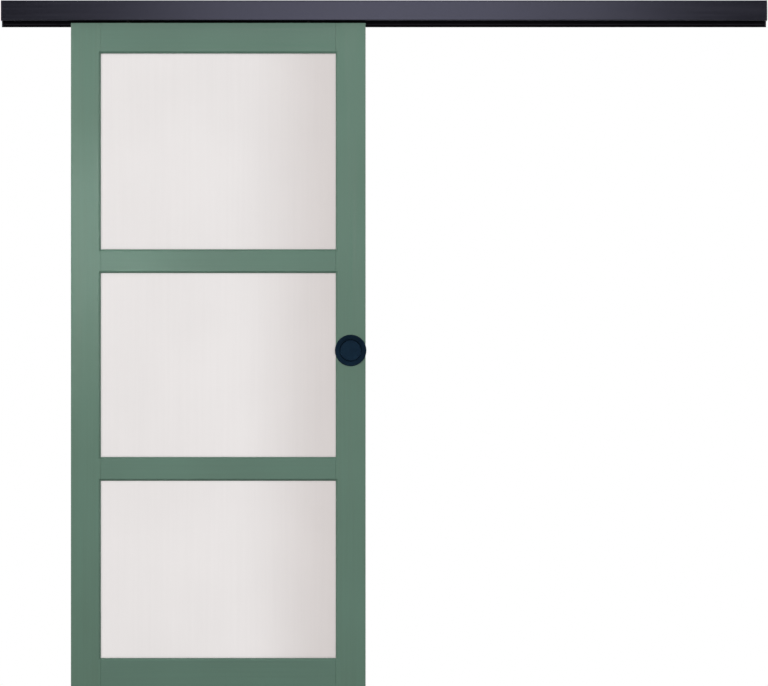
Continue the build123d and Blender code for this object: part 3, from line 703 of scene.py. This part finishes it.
@dataclass
class CupPull:
    """One turned cup pull, let into the stile, with its edges broken."""

    metal: Material
    proud: float = 3.5 * MM  # above the leaf's face
    rim_chamfer: float = 1.8 * MM
    rim_width: float = 1.6 * MM
    mouth_radius: float = 33 * MM
    ring_drop: float = 2.3 * MM  # from the rim down to the mouth
    wall: float = 1.5 * MM
    cup_depth: float = 9.5 * MM  # below the leaf's face
    draft: float = 1.2 * MM  # from the mouth's radius to the floor's
    floor_fillet: float = 2 * MM
    broken_edge: float = 0.5 * MM
    arc_steps: int = 5
    turns: int = 128
    merge_gap: float = 0.01 * MM  # points nearer than this become one

    def profile(self, flange_radius: float) -> list[Point2]:
        """Draws half of the section, from the middle of the cup's floor round to its back.

        Args:
            flange_radius: Radius of the flange.

        Returns:
            Radius and height above the leaf's face, point by point.
        """
        rim = flange_radius - self.rim_chamfer
        floor = self.mouth_radius - self.draft
        corners = [
            (0.0, -self.cup_depth),
            (floor, -self.cup_depth),
            (self.mouth_radius, self.proud - self.ring_drop),
            (rim - self.rim_width, self.proud),
            (rim, self.proud),
            (flange_radius, self.proud - self.rim_chamfer),
            (flange_radius, 0.0),
            (self.mouth_radius + self.wall, 0.0),
            (floor + self.wall, -self.cup_depth - self.wall),
            (0.0, -self.cup_depth - self.wall),
        ]
        edge = self.broken_edge
        radii = [0, self.floor_fillet, edge, edge, edge, edge, 0, 0, edge, 0]
        return rounded(corners, radii, self.arc_steps)

    def build(self, node: str, face: Face) -> None:
        """Turns the section about the pull's axis.

        Args:
            node: The node that it stands for.
            face: The face of the leaf that it is let into.
        """
        low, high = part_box(node)
        centre = (low + high) / 2
        rim = low.y if face is Face.FRONT else high.y
        leaf_face = rim - face.value * self.proud
        shape = bmesh.new()
        points = [
            shape.verts.new((centre.x + radius, leaf_face + face.value * height, centre.z))
            for radius, height in self.profile((high.x - low.x) / 2)
        ]
        line = [shape.edges.new(pair) for pair in zip(points, points[1:])]
        bmesh.ops.spin(
            shape, geom=points + line, cent=centre, axis=(0, 1, 0), angle=math.tau, steps=self.turns,
            use_merge=True,
        )
        bmesh.ops.remove_doubles(shape, verts=shape.verts, dist=self.merge_gap)
        bmesh.ops.recalc_face_normals(shape, faces=shape.faces)
        piece = put(f"{node}_turned", mesh_of(shape, node))
        piece.data.materials.append(self.metal)
        even_normals(piece)
        settle(piece, "leaf", [node])


@dataclass
class Fascia:
    """The extruded cover in front of the track, with its front edges fully rounded."""

    metal: Material
    wall: float = 2 * MM
    edge_radius: float = 2.4 * MM
    lip: float = 5 * MM  # height of the lip at the end of the lower leg
    return_depth: float = 22 * MM  # depth of the lower leg
    grip_depth: float = 12 * MM  # depth of the rib that grips the wall angle from below
    grip_gap: float = 0.2 * MM
    flange: float = 3 * MM  # thickness of the wall angle's upper leg
    broken_edge: float = 0.3 * MM
    arc_steps: int = 8

    def section(self, low: Vector, high: Vector) -> list[Point2]:
        """Draws the section in Y and Z.

        Args:
            low: Lowest corner of the node's box.
            high: Highest corner of the node's box.

        Returns:
            The rounded outline.
        """
        front, back, bottom, top = low.y, high.y, low.z, high.z
        inside = front + self.wall
        under_top = top - self.wall
        grip_top = under_top - self.flange - self.grip_gap
        grip_end = front + self.grip_depth
        return_end = front + self.return_depth
        front_corners = [(front, bottom), (front, top)]
        other_corners = [
            (back, top),
            (back, under_top),
            (inside, under_top),
            (inside, grip_top),
            (grip_end, grip_top),
            (grip_end, grip_top - self.wall),
            (inside, grip_top - self.wall),
            (inside, bottom + self.wall),
            (return_end - self.wall, bottom + self.wall),
            (return_end - self.wall, bottom + self.lip),
            (return_end, bottom + self.lip),
            (return_end, bottom),
        ]
        radii = [self.edge_radius] * len(front_corners) + [self.broken_edge] * len(other_corners)
        return rounded(front_corners + other_corners, radii, self.arc_steps)

    def build(self) -> None:
        """Runs the section along the rail."""
        low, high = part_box("fascia")
        shape = bmesh.new()
        start = shape.faces.new([shape.verts.new((low.x, y, z)) for y, z in self.section(low, high)])
        made = bmesh.ops.extrude_face_region(shape, geom=[start], use_keep_orig=True)
        moved = [item for item in made["geom"] if isinstance(item, bmesh.types.BMVert)]
        bmesh.ops.translate(shape, verts=moved, vec=(high.x - low.x, 0, 0))
        bmesh.ops.recalc_face_normals(shape, faces=shape.faces)
        piece = put("fascia_brushed", mesh_of(shape, "fascia"))
        piece.data.materials.append(self.metal)
        even_normals(piece)
        settle(piece, "rail", ["fascia"])


@dataclass(frozen=True)
class ScrewSize:
    """The sizes of one kind of countersunk screw."""

    radius: float
    head_radius: float
    head: float
    tip: float = 0.0  # length of its point, or 0 for a flat end


@dataclass
class ScrewSet:
    """Countersunk screws with a cross recess, each turned to where it came tight."""

    metal: Material
    size: ScrewSize
    recess_share: float = 0.55  # reach of the cross, as a share of the head's radius
    slot_share: float = 0.14  # half the width of its slots, as a share of the head's radius
    taper_share: float = 0.55  # the cross at its bottom, as a share of its size at the top
    recess_depth_share: float = 0.6  # depth of the cross, as a share of the head's height
    sides: int = 32
    seed: int = 7

    def tree(self) -> Tree:
        """Builds the tree that sets a turned copy of one screw on each point.

        Returns:
            The tree, with inputs for the screw, the seed of its turn and the material.
        """
        tree, given = node_group("screw_set", {"Screw": "Object", "Seed": "Int", "Material": "Material"})
        size = given.outputs
        screw = add(tree, "GeometryNodeObjectInfo", {"Object": size["Screw"]}).outputs["Geometry"]
        turns = {"Min": (0.0, 0.0, 0.0), "Max": (0.0, 0.0, math.tau), "Seed": size["Seed"]}
        turn = add(tree, "FunctionNodeRandomValue", turns, data_type="FLOAT_VECTOR").outputs[0]
        where = {"Points": size["Geometry"], "Instance": screw, "Rotation": turn}
        screws = add(tree, "GeometryNodeInstanceOnPoints", where).outputs[0]
        close_group(tree, screws, size["Material"])
        return tree

    def screw(self, length: float) -> Mesh:
        """Makes one screw that points down from the origin.

        Args:
            length: Length of the whole screw.

        Returns:
            The mesh of the screw.
        """
        size = self.size
        shape = bmesh.new()
        rings = [(size.head_radius, 0.0), (size.radius, -size.head), (size.radius, size.tip - length)]
        angles = [math.tau * n / self.sides for n in range(self.sides)]
        loops = [
            [shape.verts.new((radius * math.cos(angle), radius * math.sin(angle), z)) for angle in angles]
            for radius, z in rings
        ]
        for upper, lower in zip(loops, loops[1:]):
            for n in range(self.sides):
                after = (n + 1) % self.sides
                shape.faces.new((upper[n], lower[n], lower[after], upper[after]))
        last = loops[-1]
        if size.tip:
            point = shape.verts.new((0, 0, -length))
            for n in range(self.sides):
                shape.faces.new((last[n], point, last[(n + 1) % self.sides]))
        else:
            shape.faces.new(reversed(last))
        self.recess(shape, loops[0])
        bmesh.ops.recalc_face_normals(shape, faces=shape.faces)
        return mesh_of(shape, "screw")

    def recess(self, shape: bmesh.types.BMesh, rim: Sequence[bmesh.types.BMVert]) -> None:
        """Closes the head with a face that has a cross sunk into it.

        Args:
            shape: The screw so far.
            rim: The points round the top of the head.
        """
        far, near = self.size.head_radius * self.recess_share, self.size.head_radius * self.slot_share
        corners = [(far, -near), (far, near), (near, near), (near, far), (-near, far), (-near, near)]
        corners += [(-x, -y) for x, y in corners]
        cross = [shape.verts.new((x, y, 0.0)) for x, y in corners]
        depth = -self.size.head * self.recess_depth_share
        sunk = [shape.verts.new((x * self.taper_share, y * self.taper_share, depth)) for x, y in corners]
        edges = [shape.edges.get(pair) for pair in zip(rim, [*rim[1:], rim[0]])]
        edges += [shape.edges.new(pair) for pair in zip(cross, [*cross[1:], cross[0]])]
        bmesh.ops.triangle_fill(shape, use_beauty=True, edges=edges)
        for n, corner in enumerate(cross):
            after = (n + 1) % len(cross)
            shape.faces.new((corner, cross[after], sunk[after], sunk[n]))
        shape.faces.new(sunk)

    def build(self, node: str, body: str, places: Sequence[Vector]) -> None:
        """Sets the screws and gives them to a body.

        Args:
            node: The node that they stand for.
            body: The body that they move with.
            places: Middle of each screw's head.
        """
        low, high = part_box(node)
        pattern = put("one_screw", self.screw(high.z - low.z))
        values = {"Screw": pattern, "Seed": self.seed, "Material": self.metal}
        screws = grow(f"{node}_driven", seeds_at(places), self.tree(), values)
        bpy.data.objects.remove(pattern)
        even_normals(screws)
        settle(screws, body, [node])


@dataclass
class HangerBolts:
    """The two bolts that carry the leaf, with a rolled thread from the head to the tip."""

    metal: Material
    radius: float = 4 * MM  # to the crest of the thread
    thread_pitch: float = 1.25 * MM
    thread_depth: float = 0.55 * MM
    head: float = 5.3 * MM
    flats: float = 13 * MM  # width of the head across its flats
    steps_a_turn: int = 20
    head_sides: int = 6
    core_sides: int = 32
    ridge_sides: int = 4

    def tree(self) -> Tree:
        """Builds the tree that makes a core, a thread and a six-sided head at each point.

        Returns:
            The tree, with inputs for the sizes and the material.
        """
        kinds = ("Core", "Ridge", "Shank", "Turns", "Head radius", "Head")
        sizes = {kind: "Float" for kind in kinds} | {"Material": "Material"}
        tree, given = node_group("hanger_bolt", sizes)
        size = given.outputs
        rod = {"Vertices": self.core_sides, "Radius": size["Core"], "Depth": size["Shank"]}
        core = add(tree, "GeometryNodeMeshCylinder", rod).outputs[0]
        block = {"Vertices": self.head_sides, "Radius": size["Head radius"], "Depth": size["Head"]}
        head = add(tree, "GeometryNodeMeshCylinder", block).outputs[0]
        coil = {
            "Resolution": self.steps_a_turn,
            "Rotations": size["Turns"],
            "Start Radius": size["Core"],
            "End Radius": size["Core"],
            "Height": size["Shank"],
        }
        helix = add(tree, "GeometryNodeCurveSpiral", coil).outputs[0]
        ridge = {"Resolution": self.ridge_sides, "Radius": size["Ridge"]}
        edge = add(tree, "GeometryNodeCurvePrimitiveCircle", ridge).outputs[0]
        sweep = {"Curve": helix, "Profile Curve": edge, "Fill Caps": True}
        thread = add(tree, "GeometryNodeCurveToMesh", sweep).outputs[0]
        # Each point is a seat: the shank hangs below it and the head stands on it. The cylinders are shifted
        # from their middles and the thread from its lower end.
        joined = add(tree, "GeometryNodeJoinGeometry")
        for part, length, share in ((core, "Shank", -0.5), (head, "Head", 0.5), (thread, "Shank", -1.0)):
            rise = add(tree, "ShaderNodeMath", {0: size[length], 1: share}, operation="MULTIPLY").outputs[0]
            shift = add(tree, "ShaderNodeCombineXYZ", {"Z": rise}).outputs[0]
            moved = add(tree, "GeometryNodeTransform", {"Geometry": part, "Translation": shift}).outputs[0]
            tree.links.new(moved, joined.inputs[0])
        where = {"Points": size["Geometry"], "Instance": joined.outputs[0]}
        bolts = add(tree, "GeometryNodeInstanceOnPoints", where).outputs[0]
        close_group(tree, bolts, size["Material"])
        return tree

    def build(self) -> None:
        """Makes both bolts as one piece."""
        nodes = [f"hanger_bolt_{side}" for side in SIDES]
        boxes = [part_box(node) for node in nodes]
        low, high = boxes[0]
        seat = high.z - self.head
        shank = seat - low.z
        seats = [Vector(((a.x + b.x) / 2, (a.y + b.y) / 2, seat)) for a, b in boxes]
        values = {
            "Core": self.radius - self.thread_depth,
            "Ridge": self.thread_depth,
            "Shank": shank,
            "Turns": shank / self.thread_pitch,
            "Head radius": self.flats / 2 / math.cos(math.pi / self.head_sides),
            "Head": self.head,
            "Material": self.metal,
        }
        bolts = grow("hanger_bolts_threaded", seeds_at(seats), self.tree(), values)
        even_normals(bolts)
        settle(bolts, "leaf", nodes)


@dataclass
class Leaf:
    """The painted leaf with its panes, beads and pulls."""

    palette: Palette

    def build(self) -> None:
        """Builds the leaf's own pieces and dresses the nodes that stay."""
        upright = self.palette.stile_paint.build()
        level = self.palette.rail_paint.build()
        Timber(upright, level).build()
        BeadPins(level).build()
        pull = CupPull(self.palette.pull.build())
        pull.build("pull_front", Face.FRONT)
        pull.build("pull_back", Face.BACK)
        dress([f"pane_{place}" for place in PANES], self.palette.glass.build())
        dress([f"seal_{place}" for place in PANES], self.palette.seal.build())
        dress(["dowels"], self.palette.beech.build())


@dataclass
class Rail:
    """The rail on the wall, with its track, fascia, end caps, stops and floor guide."""

    palette: Palette
    zinc: Material
    screw: ScrewSize = ScrewSize(radius=2.5 * MM, head_radius=4.6 * MM, head=2.2 * MM)
    screw_count: int = 8

    def screw_places(self) -> list[Vector]:
        """Finds the middle of each track screw's head.

        Returns:
            The points, from left to right.
        """
        low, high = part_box("track_screws")
        first, last = low.x + self.screw.head_radius, high.x - self.screw.head_radius
        step = (last - first) / (self.screw_count - 1)
        return [Vector((first + n * step, (low.y + high.y) / 2, high.z)) for n in range(self.screw_count)]

    def build(self) -> None:
        """Builds the rail's own pieces and dresses the nodes that stay."""
        Fascia(self.palette.anodised.build()).build()
        ScrewSet(self.zinc, self.screw).build("track_screws", "rail", self.screw_places())
        dress(["wall_angle", "track_channel"], self.palette.black.build())
        moulded = [f"{kind}_{side}" for kind in ("end_cap", "stop") for side in SIDES]
        dress(moulded, self.palette.cap.build())
        dress([f"buffer_{side}" for side in SIDES], self.palette.buffer.build())
        dress(["stop_screws"], self.zinc)
        dress(["floor_guide"], self.palette.guide.build())


@dataclass
class RunningGear:
    """The hanger plates, bolts, carriages and wheels that the leaf runs on."""

    palette: Palette
    zinc: Material
    screw: ScrewSize = ScrewSize(radius=2.2 * MM, head_radius=4.4 * MM, head=2.4 * MM, tip=5 * MM)
    screw_span: float = 74 * MM  # between the two columns of screws on a plate

    def screw_places(self) -> list[Vector]:
        """Finds the middle of each plate screw's head.

        Returns:
            The points, four on each hanger plate.
        """
        low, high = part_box("plate_screws")
        rows = (low.y + self.screw.head_radius, high.y - self.screw.head_radius)
        places: list[Vector] = []
        for side in SIDES:
            plate_low, plate_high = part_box(f"hanger_plate_{side}")
            middle = (plate_low.x + plate_high.x) / 2
            columns = (middle - self.screw_span / 2, middle + self.screw_span / 2)
            places += [Vector((x, y, high.z)) for x in columns for y in rows]
        return places

    def build(self) -> None:
        """Builds the screws and bolts and dresses the nodes that stay."""
        black = self.palette.black_steel.build()
        HangerBolts(black).build()
        dress([f"jam_nut_{side}" for side in SIDES], black)
        ScrewSet(self.zinc, self.screw).build("plate_screws", "leaf", self.screw_places())
        dress([f"{kind}_{side}" for kind in ("hanger_plate", "axles") for side in SIDES], self.zinc)
        dress([f"carriage_{side}" for side in SIDES], self.palette.cast.build())
        dress([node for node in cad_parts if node.startswith("wheel_")], self.palette.wheel.build())


@dataclass(frozen=True)
class Softbox:
    """One soft lamp that stands in a place and looks at a point."""

    title: str
    place: Point3
    aim: Point3
    width: float
    height: float
    power: float  # in watts
    spread: float = math.pi  # angle of the beam

    def build(self) -> None:
        """Puts the lamp into the scene."""
        lamp = bpy.data.lights.new(self.title, "AREA")
        lamp.shape = "RECTANGLE"
        lamp.size, lamp.size_y = self.width, self.height
        lamp.energy = self.power
        lamp.spread = self.spread
        stand = bpy.data.objects.new(self.title, lamp)
        stand.location = self.place
        stand.rotation_euler = (Vector(self.aim) - Vector(self.place)).to_track_quat("-Z", "Y").to_euler()
        bpy.context.scene.collection.objects.link(stand)


@dataclass
class Studio:
    """The floor, the lamps, the white surround and the camera."""

    camera_distance: float = 24.0  # from the leaf's face
    camera_drop: float = 955.8 * MM  # below the leaf's top edge
    image_width: int = 768
    pixels_per_metre: float = 334.9  # at the leaf's face
    sensor: float = 36.0  # in millimetres, like the lens
    floor_x: tuple[float, float] = (-4.5, 4.5)
    floor_y: tuple[float, float] = (-4.5, 1.35)  # ends behind the door, just below the picture
    floor_white: float = 0.8  # glow of the floor where it is seen
    floor_shade: str = "#8C8C8C"  # colour of the floor under the lamps
    ambient: float = 0.38  # strength of the surround as a light
    # The key and the fill light the leaf from both sides, so that the edges round the panes stay even. The
    # front lamp is mirrored in the fascia as a broad highlight, and the glow lays a soft sheen on the left
    # stile.
    lamps: tuple[Softbox, ...] = (
        Softbox("key", (-4.5, -3.2, 0.2), (-0.5, 0.0, -1.0), 1.6, 1.6, 104.0),
        Softbox("front", (0.02, -9.0, 0.39), (0.0, 0.0, 0.0), 1.9, 0.9, 60.0),
        Softbox("fill", (3.6, -3.2, 0.3), (-0.5, 0.0, -1.0), 1.6, 1.6, 66.0),
        Softbox("glow", (-0.98, -3.0, -0.64), (-0.87, 0.0, -0.68), 0.4, 0.4, 0.22, math.radians(24)),
    )

    def seen_white(self, tree: Tree) -> Socket:
        """Adds the test for rays that show the surround, straight, in a gloss or through glass.

        Args:
            tree: The tree that needs the test.

        Returns:
            A socket that is 1 for such rays and 0 for the rest.
        """
        path = add(tree, "ShaderNodeLightPath").outputs
        either = {0: path["Is Camera Ray"], 1: path["Is Glossy Ray"]}
        gloss = add(tree, "ShaderNodeMath", either, operation="MAXIMUM").outputs[0]
        either = {0: gloss, 1: path["Is Transmission Ray"]}
        return add(tree, "ShaderNodeMath", either, operation="MAXIMUM").outputs[0]

    def build_surround(self) -> None:
        """Makes the world white where it is seen, and an even soft light elsewhere."""
        world = bpy.data.worlds.new("white_surround")
        world.use_nodes = True
        tree = world.node_tree
        sky = tree.nodes["Background"].inputs
        strength = {"Value": self.seen_white(tree), "To Min": self.ambient, "To Max": 1.0}
        level = add(tree, "ShaderNodeMapRange", strength).outputs[0]
        sky["Color"].default_value = linear(WHITE)
        tree.links.new(level, sky["Strength"])
        bpy.context.scene.world = world

    def build_floor(self, level: float) -> None:
        """Lays a pale floor that is white to the eye and still takes a soft shadow.

        Args:
            level: Height of the floor.
        """
        (left, right), (front, back) = self.floor_x, self.floor_y
        mesh = bpy.data.meshes.new("floor")
        corners = [(left, front, level), (right, front, level), (right, back, level), (left, back, level)]
        mesh.from_pydata(corners, [], [(0, 1, 2, 3)])
        material = bpy.data.materials.new("pale_floor")
        material.use_nodes = True
        tree = material.node_tree
        tree.nodes.remove(tree.nodes["Principled BSDF"])
        dull = add(tree, "ShaderNodeBsdfDiffuse", {"Color": linear(self.floor_shade)}).outputs[0]
        span = {"Value": self.seen_white(tree), "To Min": 0.0, "To Max": self.floor_white}
        strength = add(tree, "ShaderNodeMapRange", span).outputs[0]
        glow = add(tree, "ShaderNodeEmission", {"Color": linear(WHITE), "Strength": strength}).outputs[0]
        both = add(tree, "ShaderNodeAddShader", {0: dull, 1: glow}).outputs[0]
        tree.links.new(both, tree.nodes["Material Output"].inputs["Surface"])
        mesh.materials.append(material)
        put("floor", mesh)

    def build_camera(self) -> None:
        """Sets the camera straight in front of the door, far off, with a long lens."""
        data = bpy.data.cameras.new("photo_view")
        data.sensor_width = self.sensor
        data.lens = self.pixels_per_metre * self.camera_distance / self.image_width * self.sensor
        camera = bpy.data.objects.new("photo_view", data)
        low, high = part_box("stile_left")
        camera.location = (0.0, low.y - self.camera_distance, high.z - self.camera_drop)
        camera.rotation_euler = (math.pi / 2, 0.0, 0.0)
        bpy.context.scene.collection.objects.link(camera)
        bpy.context.scene.camera = camera

    def build(self) -> None:
        """Builds the whole studio."""
        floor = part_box("floor_guide")[0].z
        self.build_camera()
        self.build_floor(floor)
        self.build_surround()
        for lamp in self.lamps:
            lamp.build()
        bpy.context.scene.view_settings.view_transform = "Standard"


def main() -> None:
    """Builds the studio and the door, piece by piece."""
    logging.basicConfig(level=logging.INFO, format="%(message)s")
    palette = Palette()
    Studio().build()
    Leaf(palette).build()
    zinc = palette.zinc.build()
    Rail(palette, zinc).build()
    RunningGear(palette, zinc).build()


if __name__ == "__main__":
    main()
